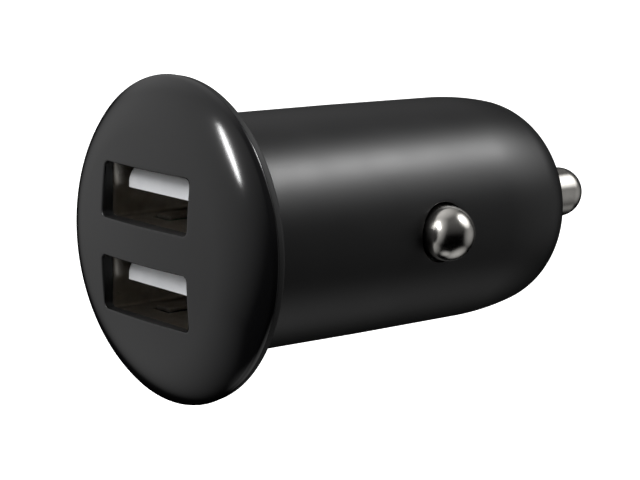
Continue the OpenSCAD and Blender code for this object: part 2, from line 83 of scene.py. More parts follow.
# %% [markdown]
# ## The camera
# The photograph shows the plug from in front and a little above, through a long lens. The angles
# come from fitting the plug's outline, so the camera is set by azimuth, elevation and roll rather
# than by eye. Azimuth 0 looks along +Y, and the roll turns the picture slightly clockwise.

# %% Camera at the photograph's angle
AZIMUTH, ELEVATION, ROLL = np.radians([-39.70, 10.60, 1.03])
AIM = np.array([15.22, 0, 0])           # a place on the plug's axis, mm
SIDEWAYS, UPWARDS, AWAY = -0.091, -1.634, 197.14
FOCAL_PIXELS, FRAME_PIXELS, SENSOR = 2200, 640, 36
back = np.array([math.sin(AZIMUTH) * math.cos(ELEVATION),
                 -math.cos(AZIMUTH) * math.cos(ELEVATION), math.sin(ELEVATION)])
level = np.cross(-back, [0, 0, 1])
level /= np.linalg.norm(level)
upright = np.cross(level, -back)
side = math.cos(ROLL) * level + math.sin(ROLL) * upright
top = -math.sin(ROLL) * level + math.cos(ROLL) * upright
stand = AIM + SIDEWAYS * side + UPWARDS * top + AWAY * back

camera = bpy.data.objects.new("camera", bpy.data.cameras.new("camera"))
bpy.context.scene.collection.objects.link(camera)
camera.matrix_world = Matrix([[*row, MM * s] for row, s in zip(np.stack([side, top, back], 1), stand)]
                             + [[0, 0, 0, 1]])
camera.data.sensor_width = SENSOR
camera.data.lens = FOCAL_PIXELS * SENSOR / FRAME_PIXELS
camera.data.clip_start = 0.01
bpy.context.scene.camera = camera
print("camera stands at, mm:", np.round(stand, 1).tolist())

# %% [markdown]
# ## Surfaces from grids
# Moulded and turned parts are smooth surfaces with small roundings at every edge, and those
# roundings are what catches the light. Bevelled primitives could stand in for them, but a surface
# worked out from its own sizes is exact, so each piece is a grid of points: one way round it, the
# other way along its profile. Grids that share an edge use the same points there, and one weld
# joins them into a closed skin.

# %% Grid, weld and piece
SHARP = math.radians(38)                # an edge that turns more than this stays an edge


def grid(points, round_closed=True, path_closed=False):
    """Corners and four-sided faces of a surface whose point (i, j) is points[i, j].
    Face (i, j) joins (i, j), (i + 1, j), (i + 1, j + 1) and (i, j + 1); a closed direction
    wraps its last row to its first."""
    n, m = points.shape[:2]
    i = np.arange(n if round_closed else n - 1)[:, None]
    j = np.arange(m if path_closed else m - 1)[None, :]
    i2, j2 = (i + 1) % n, (j + 1) % m
    faces = np.stack([i * m + j, i2 * m + j, i2 * m + j2, i * m + j2], -1)
    return points.reshape(-1, 3), faces.reshape(-1, 4)


def weld(patches):
    """One skin from several grids: corners that round to the same tenth of a micron become one
    point. A face side whose two ends became one point falls away, which closes poles."""
    points = np.concatenate([p for p, f in patches])
    start = np.cumsum([0] + [len(p) for p, f in patches[:-1]])
    faces = np.concatenate([f + s for (p, f), s in zip(patches, start)])
    _, keep, number = np.unique(np.round(points, 4) + 0.0, axis=0, return_index=True,
                                return_inverse=True)
    faces = number.reshape(-1)[faces]
    doubled = faces == np.roll(faces, 1, axis=1)
    quads = faces[doubled.sum(1) == 0]
    three = doubled.sum(1) == 1
    triangles = faces[three][~doubled[three]].reshape(-1, 3)
    return points[keep], quads.tolist() + triangles.tolist()


def piece(name, patches, body, slot, stands_for=()):
    """A finished piece from grids in millimetres: welded, faces outwards, smooth but for its
    sharp edges, riding on its body if it has one. Prints whether the skin is closed."""
    points, faces = weld(patches)
    mesh = bpy.data.meshes.new(name)
    mesh.from_pydata((points * MM).tolist(), [], faces)
    work = bmesh.new()
    work.from_mesh(mesh)
    bmesh.ops.recalc_face_normals(work, faces=work.faces)
    gaps = sum(len(edge.link_faces) != 2 for edge in work.edges)
    volume = work.calc_volume(signed=True)
    work.to_mesh(mesh)
    work.free()
    mesh.shade_smooth()
    mesh.set_sharp_from_angle(angle=SHARP)
    obj = bpy.data.objects.new(name, mesh)
    bpy.context.scene.collection.objects.link(obj)
    if body:
        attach(obj, body)
    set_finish(obj, slot)
    if stands_for:
        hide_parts(*stands_for)
    print(f"{name}: {len(faces)} faces, {gaps} open edges, {volume / MM**3:.1f} mm3")
    return obj


# %% Arcs and turned surfaces
def arc(centre, radius, start, end, steps):
    """Points centre + radius (cos a, sin a), with a running evenly from start to end degrees."""
    a = np.radians(np.linspace(start, end, steps))
    return np.array(centre) + radius * np.stack([np.cos(a), np.sin(a)], 1)


def rounded(corners, radii, steps=6):
    """A path through corners, each cut by an arc that touches both of its sides. The arc starts
    radius / tan(half the corner's angle) before the corner, and its centre lies on the bisector.
    A corner with radius 0 stays sharp."""
    corners = np.array(corners, float)
    parts = [corners[:1]]
    for before, corner, after, radius in zip(corners, corners[1:], corners[2:], radii):
        if radius == 0:
            parts.append(corner[None])
            continue
        a = (before - corner) / np.linalg.norm(before - corner)
        b = (after - corner) / np.linalg.norm(after - corner)
        half = math.acos(np.clip(a @ b, -1, 1)) / 2
        middle = corner + (a + b) / np.linalg.norm(a + b) * radius / math.sin(half)
        t = np.linspace(0, 1, steps + 1)[:, None]
        first = corner + a * radius / math.tan(half) - middle
        last = corner + b * radius / math.tan(half) - middle
        sweep = math.pi - 2 * half
        parts.append(middle + (np.sin((1 - t) * sweep) * first + np.sin(t * sweep) * last)
                     / math.sin(sweep))
    return np.vstack(parts + [corners[-1:]])


def turned(profile, angles):
    """Surface of revolution about X: (x, r) at angle a becomes (x, r cos a, r sin a)."""
    x, r = profile[None, :, 0], profile[None, :, 1]
    a = np.asarray(angles)[:, None]
    return np.stack([x + 0 * a, r * np.cos(a), r * np.sin(a)], -1)


ROUND = np.radians(np.arange(0, 360, 1.875))
print("turned pieces have", len(ROUND), "steps round")

# %% [markdown]
# ## The face cap
# The cap is one black moulding: a shallow dome, a big rounded shoulder, a small rounding at the
# rim, and two port openings whose edges are just broken. The dome could be a turned surface with
# the ports cut by booleans, but a cut leaves ragged shading round the openings. Here each port
# gets its own fan of grid lines, from its rounded edge out to a circle on the dome, and the rest
# of the cap is turned from that circle's own points, so nothing is cut.

# %% The cap's profile
DOME_R, DOME_X, DOME_EDGE = 57.5, 52.896, 9.6   # the shallow dome, its centre and edge radius
SHOULDER_R, SHOULDER_AT = 7.5, (3.598, 8.348)
RIM_R, RIM_AT = 0.8, (-0.86, 13.35)
FLANGE_R, CAP_BACK, CAP_INNER_R = 14.15, -0.80, 12.65
TURN = math.degrees(math.asin(DOME_EDGE / DOME_R))
RIM_TURN = math.degrees(math.atan2(RIM_AT[1] - SHOULDER_AT[1], RIM_AT[0] - SHOULDER_AT[0]))
FAN_R, FAN_INNER_R, WALL = 9.45, 10.6, 1.5
FLOOR_X, FLOOR_R = -1.8, 10.97          # the cavity's flat floor, and where it meets the shoulder
BACK_EDGE = 0.05


def face_x(r, inset=0.0):
    """Place along X of the cap's skin at distance r from the axis, an inset below the surface:
    the dome's circle x = centre - sqrt(R^2 - r^2), and past its edge the shoulder's circle."""
    edge = (DOME_R - inset) * math.sin(math.radians(TURN))
    dome = DOME_X - np.sqrt((DOME_R - inset) ** 2 - np.minimum(r, edge) ** 2)
    shoulder = SHOULDER_AT[0] - np.sqrt(
        np.maximum((SHOULDER_R - inset) ** 2 - (np.maximum(r, edge) - SHOULDER_AT[1]) ** 2, 0))
    return np.where(r <= edge, dome, shoulder)


r = np.linspace(FAN_R, DOME_EDGE, 3)
cap_outside = np.vstack([
    np.stack([face_x(r), r], 1)[:-1],
    arc(SHOULDER_AT, SHOULDER_R, 180 - TURN, RIM_TURN, 26)[:-1],
    arc(RIM_AT, RIM_R, RIM_TURN, 90, 12),
    arc((CAP_BACK - BACK_EDGE, FLANGE_R - BACK_EDGE), BACK_EDGE, 90, 0, 4)])
r = np.linspace(FLOOR_R, FAN_INNER_R, 4)
cap_inside = np.vstack([
    rounded([(CAP_BACK, FLANGE_R - BACK_EDGE), (CAP_BACK, CAP_INNER_R), (FLOOR_X, CAP_INNER_R),
             (FLOOR_X, FLOOR_R)], [0.1, 0.15], 3)[1:-1],
    np.stack([face_x(r, WALL), r], 1)])
cap_profile = np.vstack([cap_outside, cap_inside])
print("cap profile:", len(cap_profile), "points, deepest x", cap_profile[:, 0].min().round(3))

# %% [markdown]
# A port's edge is a rounded rectangle. From each of its points a ray runs away from the port's
# middle until it meets either the circle on the dome or the line halfway between the ports. Both
# fans meet on that line point for point, because the two ports mirror each other about it.

# %% Loops round a port and the fan of rays
SLOT_HALF, SLOT_CORNER = (6.1, 2.375), 0.5
SHELL_HALF, SHELL_CORNER = (6.55, 2.86), 0.6    # outside of a socket's metal shell
POCKET_ROOM, COLLAR_ROOM, COLLAR_CORNER = 0.1, 0.9, 1.4     # round that shell
POCKET_X, COLLAR_END = -3.104, -1.05
PORTS = {"upper": 3.95, "lower": -4.15}
MIDDLE = -0.10                          # height halfway between the ports
SHELL_DROP = 0.05                       # a shell's middle lies this much below its port's
EDGE = 0.18                             # rounding at the openings' edges


def grown(half, room):
    """The half sizes of a rectangle with so much room all round."""
    return half[0] + room, half[1] + room


def port_loop(half, corner, z, low_corner=None):
    """Rounded rectangle in (y, z), from the right side round: quarter circles of 10 points at
    the corners and evenly spread points on the straight sides, 60 long ways and 24 short. The
    two lower corners can have a radius of their own."""
    low = corner if low_corner is None else low_corner
    quarters = [(1, 1, corner), (-1, 1, corner), (-1, -1, low), (1, -1, low)]
    arcs = [arc((sy * (half[0] - c), sz * (half[1] - c)), c, 90 * q, 90 * q + 90, 10)
            for q, (sy, sz, c) in enumerate(quarters)]
    parts = []
    for q, count in enumerate((60, 24, 60, 24)):
        t = np.linspace(0, 1, count + 2)[1:-1, None]
        parts += [arcs[q], arcs[q][-1] + t * (arcs[(q + 1) % 4][0] - arcs[q][-1])]
    return np.vstack(parts) + (0, z)


def slot_loop(z, room=0.0):
    """A port's opening at height z, grown by some room."""
    return port_loop(grown(SLOT_HALF, room), SLOT_CORNER + room, z)


def at_depth(loop, x):
    """A loop in (y, z) as points in space, at one x or at one x for each point."""
    return np.column_stack([np.broadcast_to(x, len(loop)), loop])


def under_dome(flat, inset=0.0):
    """Points (y, z) laid on the cap's skin, an inset below its surface."""
    return np.concatenate([face_x(np.hypot(flat[..., 0], flat[..., 1]), inset)[..., None], flat], -1)


def fan_ends(z):
    """Where the rays from a port's middle through its edge end: on the circle of radius FAN_R
    or on the line z = MIDDLE. The ray nearest each corner between the two ends exactly there."""
    ray = slot_loop(z, EDGE) - (0, z)
    ray /= np.linalg.norm(ray, axis=1)[:, None]
    along = ray[:, 1] * z
    to_circle = -along + np.sqrt(along ** 2 - z * z + FAN_R ** 2)
    with np.errstate(divide="ignore"):
        to_line = (MIDDLE - z) / ray[:, 1]
    to_line = np.where(to_line > 0, to_line, np.inf)
    ends = (0, z) + ray * np.minimum(to_circle, to_line)[:, None]
    on_circle = to_circle <= to_line
    half_chord = math.sqrt(FAN_R ** 2 - MIDDLE ** 2)
    for y in (-half_chord, half_chord):
        k = np.argmin(np.linalg.norm(ends - (y, MIDDLE), axis=1))
        ends[k], on_circle[k] = (y, MIDDLE), True
    return ends, on_circle


cap_patches, rim_angles = [], []
t = np.linspace(0, 1, 13)[None, :, None]
quarter = np.linspace(0, np.pi / 2, 7)
for z in PORTS.values():
    ends, on_circle = fan_ends(z)
    rim_angles.append(np.arctan2(ends[on_circle, 1], ends[on_circle, 0]))
    # outer fan, on the dome
    edge = slot_loop(z, EDGE)
    cap_patches.append(grid(under_dome(edge[:, None] + (ends - edge)[:, None] * t)))
    # sleeve: rounded edge, slot wall, step out to the shell's pocket, collar, back to the inside
    loops = [at_depth(slot_loop(z, EDGE * (1 - math.sin(a))),
                      face_x(np.hypot(*edge.T)) + EDGE * (1 - math.cos(a))) for a in quarter]
    pocket = port_loop(grown(SHELL_HALF, POCKET_ROOM), SHELL_CORNER, z - SHELL_DROP)
    collar = port_loop(grown(SHELL_HALF, COLLAR_ROOM), COLLAR_CORNER, z - SHELL_DROP)
    loops += [at_depth(slot_loop(z), x) for x in (-3.9, -3.5, POCKET_X)]
    loops += [at_depth(pocket, x) for x in (POCKET_X, -2.5, -1.9, COLLAR_END)]
    loops += [at_depth(collar, x) for x in (COLLAR_END, FLOOR_X)]
    loops += [at_depth(collar, face_x(np.hypot(*collar.T), WALL))]
    cap_patches.append(grid(np.stack(loops, 1)))
    # inner fan, under the dome
    inner_ends = ends * FAN_INNER_R / FAN_R
    cap_patches.append(grid(under_dome(collar[:, None] + (inner_ends - collar)[:, None] * t, WALL)))
rim_angles = np.unique(np.round(np.concatenate(rim_angles), 9))
cap_patches.append(grid(turned(cap_profile, rim_angles)))
print("steps round the rim:", len(rim_angles), "widest, degrees:",
      np.degrees(np.diff(rim_angles).max()).round(2))

# %% Snap arms inside the cap
ARM_ROOT, ARM_END, ARM_INNER, ARM_OUTER, ARM_HALF_TURN = -2.4, 4.6, 8.35, 9.35, 0.30
HOOK_X, HOOK_END, HOOK_R = 3.3, 3.75, 9.75


def swept(profile, half_angle, turn, steps=9):
    """A closed profile of (x, r) turned about X through a slice, as a block with two end faces.
    The end faces are fans from the profile's middle."""
    a = np.radians(turn) + np.linspace(-half_angle, half_angle, steps)
    skin = turned(profile, a)
    patches = [grid(skin, round_closed=False, path_closed=True)]
    for end in (0, -1):
        rim = skin[end]
        middle = np.broadcast_to(rim.mean(0), rim.shape)
        patches.append(grid(np.stack([rim, middle], 1)))
    return patches


arm = rounded([(ARM_ROOT, ARM_INNER), (ARM_ROOT, ARM_OUTER), (HOOK_X, ARM_OUTER), (HOOK_X, HOOK_R),
               (HOOK_END, HOOK_R), (ARM_END, ARM_OUTER), (ARM_END, ARM_INNER),
               (ARM_ROOT, ARM_INNER)], [0, 0, 0.1, 0.1, 0.1, 0.3], 3)[:-1]
piece("face_cap_moulding", cap_patches, "housing", "cap_plastic", ["face_cap"])
piece("face_cap_snap_arms", sum([swept(arm, ARM_HALF_TURN, turn) for turn in (0, 90, 180, 270)], []),
      "housing", "cap_plastic")

# %% [markdown]
# ## The barrel
# Behind the cap is the second moulding: its own thin lip, a barrel that narrows by a hair towards
# the domed nose, a round hole on each side for the contacts and one in the nose for the tip. A
# side hole is a circle seen from the side, so its fan of grid lines is drawn in that view and
# then laid on the barrel with y = sqrt(R^2 - z^2).

# %% The barrel's radius and profile
BARREL_R, NOSE_BASE_R, GUIDE_LEN, STRAIGHT_LEN = 10.4, 10.3, 17.0, 28.8
BORE_R, LIP_R, NOSE_X, NOSE_INNER_X = 9.5, 14.05, 39.6, 38.2
CORNER_R, NOSE_FLAT_R = 6.0, 3.8
TIP_HOLE_R, GUIDE_R, GUIDE_END = 2.55, 3.5, 35.6
LIP_FRONT, RING_FRONT, RING_INNER_R, RING_OUTER_R = -0.75, -1.55, 11.75, 12.55
SIDE_X, PATCH = 20.8, 5.0               # the side contacts' place, and half the patch round one
CORNER_X = NOSE_X - CORNER_R
drop = NOSE_BASE_R - NOSE_FLAT_R
LEAD_R = ((CORNER_X - STRAIGHT_LEN) ** 2 + drop ** 2 - CORNER_R ** 2) / (2 * (drop - CORNER_R))
LEAD_TURN = math.degrees(math.asin((CORNER_X - STRAIGHT_LEN) / (LEAD_R - CORNER_R)))


def barrel_r(x):
    """Radius along the barrel: constant on the guiding stretch, then falling evenly."""
    return np.interp(x, [GUIDE_LEN, STRAIGHT_LEN], [BARREL_R, NOSE_BASE_R])


def nose(inset):
    """The nose from the barrel's end to its flat: a long lead-in arc, then the corner's arc."""
    lead = arc((STRAIGHT_LEN, NOSE_BASE_R - LEAD_R), LEAD_R - inset, 90, 90 - LEAD_TURN, 14)
    corner = arc((CORNER_X, NOSE_FLAT_R), CORNER_R - inset, 90 - LEAD_TURN, 0, 26)
    return np.vstack([lead[:-1], corner])


inner_nose = nose(NOSE_BASE_R - BORE_R)
inner_nose = inner_nose[inner_nose[:, 0] < NOSE_INNER_X - 0.02]
inner_corner = NOSE_FLAT_R + math.sqrt((CORNER_R - NOSE_BASE_R + BORE_R) ** 2
                                       - (NOSE_INNER_X - CORNER_X) ** 2)
x = np.linspace(SIDE_X + PATCH, STRAIGHT_LEN, 6)[:-1]
lip = rounded([(SIDE_X - PATCH, BORE_R), (LIP_FRONT, BORE_R), (LIP_FRONT, RING_INNER_R),
               (RING_FRONT, RING_INNER_R), (RING_FRONT, RING_OUTER_R), (LIP_FRONT, RING_OUTER_R),
               (LIP_FRONT, LIP_R), (0.0, LIP_R), (0.0, BARREL_R), (SIDE_X - PATCH, BARREL_R)],
              [0.1, 0, 0.1, 0.1, 0, 0.06, 0.3, 0.12])
lip = np.vstack([lip[:1], np.column_stack([np.linspace(14, 1, 8), np.full(8, BORE_R)]), lip[1:-1],
                 np.column_stack([np.linspace(1, 14, 8), np.full(8, BARREL_R)]), lip[-1:]])
front = np.vstack([
    np.stack([x, barrel_r(x)], 1), nose(0.0)[:-1],
    rounded([(NOSE_X, NOSE_FLAT_R), (NOSE_X, TIP_HOLE_R), (GUIDE_END, TIP_HOLE_R),
             (GUIDE_END, GUIDE_R), (NOSE_INNER_X, GUIDE_R), (NOSE_INNER_X, inner_corner)],
            [0.15, 0.12, 0.12, 0.0], 5),
    inner_nose[::-1],
    np.column_stack([x[::-1], np.full(len(x), BORE_R)])])
print("nose lead-in radius", round(LEAD_R, 2), "and turn", round(LEAD_TURN, 2))

# %% Side holes and the strips between them
HOLE_R, PAD_R, PAD_Y, HOLE_EDGE = 2.7, 3.9, 8.6, 0.06
edge_x = SIDE_X + np.linspace(-PATCH, PATCH, 21)
edge_a = np.radians(np.arange(-30, 30.1, 1.875))


def patch_rim(radius):
    """The patch's border as (x, z), once round: along two lines of constant angle, where
    z = R sin 30, and two rings of constant x."""
    r = radius(edge_x)
    low = np.stack([edge_x, r * np.sin(edge_a[0])], 1)
    high = np.stack([edge_x, r * np.sin(edge_a[-1])], 1)
    left = np.stack([np.full(33, edge_x[0]), r[0] * np.sin(edge_a)], 1)
    right = np.stack([np.full(33, edge_x[-1]), r[-1] * np.sin(edge_a)], 1)
    return np.vstack([low[:-1], right[:-1], high[:0:-1], left[:0:-1]])


def bore_r(x):
    """Radius of the bore, the same at every x."""
    return np.full(np.shape(x), BORE_R)


def on_barrel(xz, radius, side, sink=0.0):
    """Points of the side view (x, z) laid on the wall: y = sqrt(R(x)^2 - z^2), less a sink."""
    y = np.sqrt(radius(xz[..., 0]) ** 2 - xz[..., 1] ** 2) - sink
    return np.stack([xz[..., 0], side * y, xz[..., 1]], -1)


def on_pad(xz, side):
    """Points of the side view (x, z) on the flat pad inside the wall."""
    return np.stack([xz[:, 0], np.full(len(xz), side * PAD_Y), xz[:, 1]], -1)


def hole_ring(rim, r):
    """Points of a circle round the contact's middle, each towards its own point of the border."""
    ray = rim - (SIDE_X, 0)
    return (SIDE_X, 0) + ray / np.linalg.norm(ray, axis=1)[:, None] * r


outer_rim, inner_rim = patch_rim(barrel_r), patch_rim(bore_r)
t = np.linspace(0, 1, 9)[None, :, None]
barrel_patches = [grid(turned(lip, ROUND)), grid(turned(front, ROUND))]
for side_sign in (1, -1):
    ring = hole_ring(outer_rim, HOLE_R + HOLE_EDGE)
    barrel_patches.append(grid(on_barrel(ring[:, None] + (outer_rim - ring)[:, None] * t,
                                         barrel_r, side_sign)))
    loops = [on_barrel(hole_ring(outer_rim, HOLE_R + HOLE_EDGE * (1 - math.sin(a))), barrel_r,
                       side_sign, HOLE_EDGE * (1 - math.cos(a))) for a in quarter]
    hole, pad = hole_ring(outer_rim, HOLE_R), hole_ring(outer_rim, PAD_R)
    loops += [on_pad(hole, side_sign), on_pad(pad, side_sign), on_barrel(pad, bore_r, side_sign)]
    barrel_patches.append(grid(np.stack(loops, 1)))
    barrel_patches.append(grid(on_barrel(pad[:, None] + (inner_rim - pad)[:, None] * t,
                                         bore_r, side_sign)))
for first in (30, 210):
    a = np.radians(first + np.arange(0, 120.1, 1.875))
    for radius in (barrel_r, bore_r):
        strip = turned(np.stack([edge_x, radius(edge_x)], 1), a)
        barrel_patches.append(grid(strip, round_closed=False))
piece("barrel_moulding", barrel_patches, "housing", "barrel_plastic", ["barrel"])

# %% [markdown]
# ## Contacts
# The tip and the side contacts are turned on a lathe and nickel-plated. They are bodies of
# revolution, so each is one profile: a spring side stub, a head or flange that stops it inside
# the wall, the shaft, and a rounded end.

# %% Tip contact
def contact(places, radii, stub_edge):
    """A turned contact along X, from the places where its stub, head and shaft begin and its
    round end is reached, and the radii of stub, head and shaft."""
    (back, head, shaft, end), (stub_r, head_r, shaft_r) = places, radii
    profile = np.vstack([
        rounded([(back, 0), (back, stub_r), (head, stub_r), (head, head_r), (shaft, head_r),
                 (shaft, shaft_r), (end - shaft_r - 0.2, shaft_r)],
                [stub_edge, 0.05, 0.12, 0.12, 0.05], 5)[:-1],
        arc((end - shaft_r, 0), shaft_r, 90, 0, 26)])
    profile[-1, 1] = 0
    return turned(profile, ROUND[::2])


tip_skin = contact((33.05, 34.55, 35.55, 47.7), (1.5, 3.3, 2.4), 0.15)
piece("tip_contact_turned", [grid(tip_skin)], "tip", "nickel_plate", ["tip_contact"])

# %% Side contacts
button = contact((7.3, 7.9, 8.55, 13.1), (1.0, 3.3, 2.45), 0.1)
for word, sign in (("left", 1), ("right", -1)):
    skin = button[..., [1, 0, 2]] * (1, sign, 1) + (SIDE_X, 0, 0)
    piece(f"side_contact_{word}_turned", [grid(skin)], f"{word}_contact", "nickel_plate",
          [f"ground_button_{word}"])

# %% [markdown]
# ## Sockets
# Each port holds a folded sheet shell with two spring fingers above and two below, and a white
# moulded tongue. The shell is two loops of grid points, outside and inside, joined at the mouth
# and the rear and round the windows that the fingers were cut from.

# %% Shells with windows
SHELL_X, SHELL_END, SHEET = -3.004, 10.396, 0.3
INNER_CORNER, LEG_W = 0.3, 2.4
WINDOW_X, WINDOW_W = (-0.204, 5.996), 2.5
FINGER_Y, FINGER_W, FINGER_LEN, FINGER_DIP = (-3.1, 3.1), 2.0, 5.8, 0.36


def shell_loop(half, corner):
    """Rounded rectangle whose long sides carry points at the windows' edges."""
    hw, hh = half[0] - corner, half[1] - corner
    cuts = sorted(y + s * WINDOW_W / 2 for y in FINGER_Y for s in (-1, 1))
    stops = np.concatenate([np.linspace(a, b, 6)[:-1] for a, b in zip([-hw] + cuts, cuts + [hw])])
    top_side = np.stack([-stops, np.full(len(stops), half[1])], 1)
    bottom_side = np.stack([stops, np.full(len(stops), -half[1])], 1)
    z = np.linspace(hh, -hh, 8)
    return np.vstack([
        arc((hw, hh), corner, 0, 90, 7)[:-1], top_side,
        arc((-hw, hh), corner, 90, 180, 7)[:-1], np.stack([np.full(8, -half[0]), z], 1)[:-1],
        arc((-hw, -hh), corner, 180, 270, 7)[:-1], bottom_side,
        arc((hw, -hh), corner, 270, 360, 7)[:-1], np.stack([np.full(8, half[0]), -z], 1)[:-1]])


def shell_patches(z):
    """Outside and inside grids without the window cells, and strips that join the two round the
    mouth, the rear and each window."""
    outer = shell_loop(SHELL_HALF, SHELL_CORNER)
    inner = shell_loop(grown(SHELL_HALF, -SHEET), INNER_CORNER)
    xs = np.concatenate([[SHELL_X, SHELL_X + 0.12], np.linspace(-2.4, WINDOW_X[0], 5),
                         np.linspace(*WINDOW_X, 14)[1:], np.linspace(WINDOW_X[1], SHELL_END, 8)[1:]])
    n, m = len(outer), len(xs)
    walls = [np.stack(np.broadcast_arrays(xs, loop[:, 0, None], loop[:, 1, None] + z), -1)
             for loop in (outer, inner)]
    # the mouth's edge is broken: its outer and inner corners draw together
    centre = (walls[0][:, 0, 1:] + walls[1][:, 0, 1:]) / 2
    for wall in walls:
        wall[:, 0, 1:] = centre + (wall[:, 0, 1:] - centre) * 0.45
    middle_y = (outer[:, 0] + np.roll(outer[:, 0], -1)) / 2
    flat = np.isclose(np.abs(outer[:, 1]), SHELL_HALF[1]) & np.isclose(
        np.abs(np.roll(outer[:, 1], -1)), SHELL_HALF[1])
    in_window = flat & (np.abs(np.abs(middle_y) - FINGER_Y[1]) < WINDOW_W / 2)
    middle_x = (xs[:-1] + xs[1:]) / 2
    hole = in_window[:, None] & (middle_x > WINDOW_X[0]) & (middle_x < WINDOW_X[1])
    patches = []
    for wall in walls:
        points, faces = grid(wall)
        patches.append((points, faces.reshape(n, m - 1, 4)[~hole].reshape(-1, 4)))
    both = np.concatenate([w.reshape(-1, 3) for w in walls])
    i, j = np.nonzero(hole != np.roll(hole, 1, axis=0))          # window edges along X
    k = i * m + j
    patches.append((both, np.stack([k, k + 1, k + 1 + n * m, k + n * m], -1)))
    i, j = np.nonzero(hole[:, 1:] != hole[:, :-1])               # window edges across
    k, k2 = i * m + j + 1, (i + 1) % n * m + j + 1
    patches.append((both, np.stack([k, k2, k2 + n * m, k + n * m], -1)))
    for j in (0, m - 1):
        patches.append(grid(np.stack([walls[0][:, j], walls[1][:, j]], 1)))
    return patches


def strip(path, width, thick, y):
    """A sheet strip: the path (x, z) of its middle plane, offset by half its thickness along the
    path's normal on both sides, and carried across its width."""
    step = np.gradient(path, axis=0)
    normal = np.stack([-step[:, 1], step[:, 0]], 1) / np.linalg.norm(step, axis=1)[:, None]
    ring = np.vstack([path + normal * thick / 2, (path - normal * thick / 2)[::-1]])
    across = y + np.array([-0.5, -0.47, 0.47, 0.5]) * width
    inset = np.array([0.86, 1, 1, 0.86])        # thinner at both borders, which breaks their edges
    centre = np.vstack([path, path[::-1]])
    flat = centre[None] + (ring - centre)[None] * inset[:, None, None]
    skin = np.stack([flat[..., 0], np.broadcast_to(across[:, None], flat.shape[:2]), flat[..., 1]], -1)
    patches = [grid(skin, round_closed=False, path_closed=True)]
    half = len(path)
    for end in (0, -1):
        a, b = skin[end, :half], skin[end, half:][::-1]
        patches.append(grid(np.stack([a, b], 1), round_closed=False))
    return patches


def finger_path(z_root, face):
    """Middle plane of a spring finger: it leaves the wall level, dips inwards by a smooth curve
    1 - (1 - s)^1.6 and lifts again over its last fifth, where it is curled."""
    s = np.linspace(0, 1, 22)
    dip = FINGER_DIP * (1 - (1 - np.minimum(s / 0.8, 1)) ** 1.6)
    lift = 0.30 * FINGER_DIP * np.clip((s - 0.8) / 0.2, 0, 1) ** 2
    return np.stack([WINDOW_X[1] + 0.2 - (FINGER_LEN + 0.2) * s, z_root - face * (dip - lift)], 1)


for name, leg_x, leg_end in (("upper", 6.396, -1.10), ("lower", 2.396, 0.80)):
    z = PORTS[name] - SHELL_DROP
    piece(f"{name}_shell_folded", shell_patches(z), "housing", "shell_steel",
          [f"{name}_socket_shell"])
    parts = []
    for face in (-1, 1):
        for y in FINGER_Y:
            parts += strip(finger_path(z + face * (SHELL_HALF[1] - SHEET / 2), face), FINGER_W, SHEET, y)
    for sign in (-1, 1):
        leg = np.stack([np.linspace(leg_x, leg_x + LEG_W, 4), np.full(4, (z + leg_end) / 2)], 1)
        parts += strip(leg, SHEET, abs(leg_end - z), sign * (SHELL_HALF[0] - SHEET / 2))
    piece(f"{name}_shell_fingers_and_legs", parts, "housing", "shell_steel")

# %% Tongues
TONGUE_W, TONGUE_T, TONGUE_X, TONGUE_TOP = 11.1, 1.84, -2.004, 1.90
BLOCK_X, BLOCK_LEN, BLOCK_HALF, BLOCK_CORNER = 7.576, 2.8, (6.2, 2.51), 0.3
TOP_CORNER, LOW_CORNER = 0.60, 0.06


def block(x_stops, half_sizes, corners, centre_z):
    """A moulded block along X: rounded rectangles of changing size at the given places, each
    with its upper and lower corner radius, and a fan to the middle at both ends."""
    loops = [at_depth(port_loop(half, up, z, low), x)
             for x, half, (up, low), z in zip(x_stops, half_sizes, corners, centre_z)]
    closed = [np.broadcast_to(loop.mean(0), loop.shape) for loop in (loops[0], loops[-1])]
    return [grid(np.stack([closed[0]] + loops + [closed[1]], 1))]


# The upper front edge is well rounded, so that a lead's plug finds its way under the tongue, and
# the lower one is sharp: the mould's halves meet there.
TOP_EASE, FRONT_EASE, SIDE_EASE, LOW_EASE = 1.15, 0.95, 0.40, 0.05
a = np.linspace(np.pi / 2, 0, 11)
eased = 1 - np.cos(a)                    # 1 at the very front, 0 where the tongue is full size
fronts = [TONGUE_X + FRONT_EASE * (1 - math.sin(v)) for v in a]
halves = [(TONGUE_W / 2 - SIDE_EASE * e, (TONGUE_T - (TOP_EASE + LOW_EASE) * e) / 2) for e in eased]
corners = [(min(TOP_CORNER, half[1] - LOW_CORNER), LOW_CORNER) for half in halves]
stops = fronts + [2.0, BLOCK_X, BLOCK_X, BLOCK_X + BLOCK_LEN / 2, BLOCK_X + BLOCK_LEN]
sizes = halves + [halves[-1]] * 2 + [BLOCK_HALF] * 3
rounds = corners + [corners[-1]] * 2 + [(BLOCK_CORNER, BLOCK_CORNER)] * 3
for name, port_z in PORTS.items():
    z = port_z - SHELL_DROP             # the shell's middle, and the block's that closes its rear
    mids = [z + TONGUE_TOP - TONGUE_T / 2 - (TOP_EASE - LOW_EASE) / 2 * e for e in eased]
    heights = mids + [mids[-1]] * 2 + [z] * 3
    piece(f"{name}_tongue_moulding", block(stops, sizes, rounds, heights), "housing",
          "tongue_plastic", [f"{name}_socket_tongue"])

# %% [markdown]
# ## Springs
# The tip stands on a coil spring and each side contact on a leaf spring. Their solids keep their
# rest shape, and so do the pieces here, which ride on no body.

# %% Coil spring
SPRING_X = (28.42, 34.53)
TURNS, FLAT_TURNS, WIRE_R, COIL_R = 6.0, 0.75, 0.25, 2.3


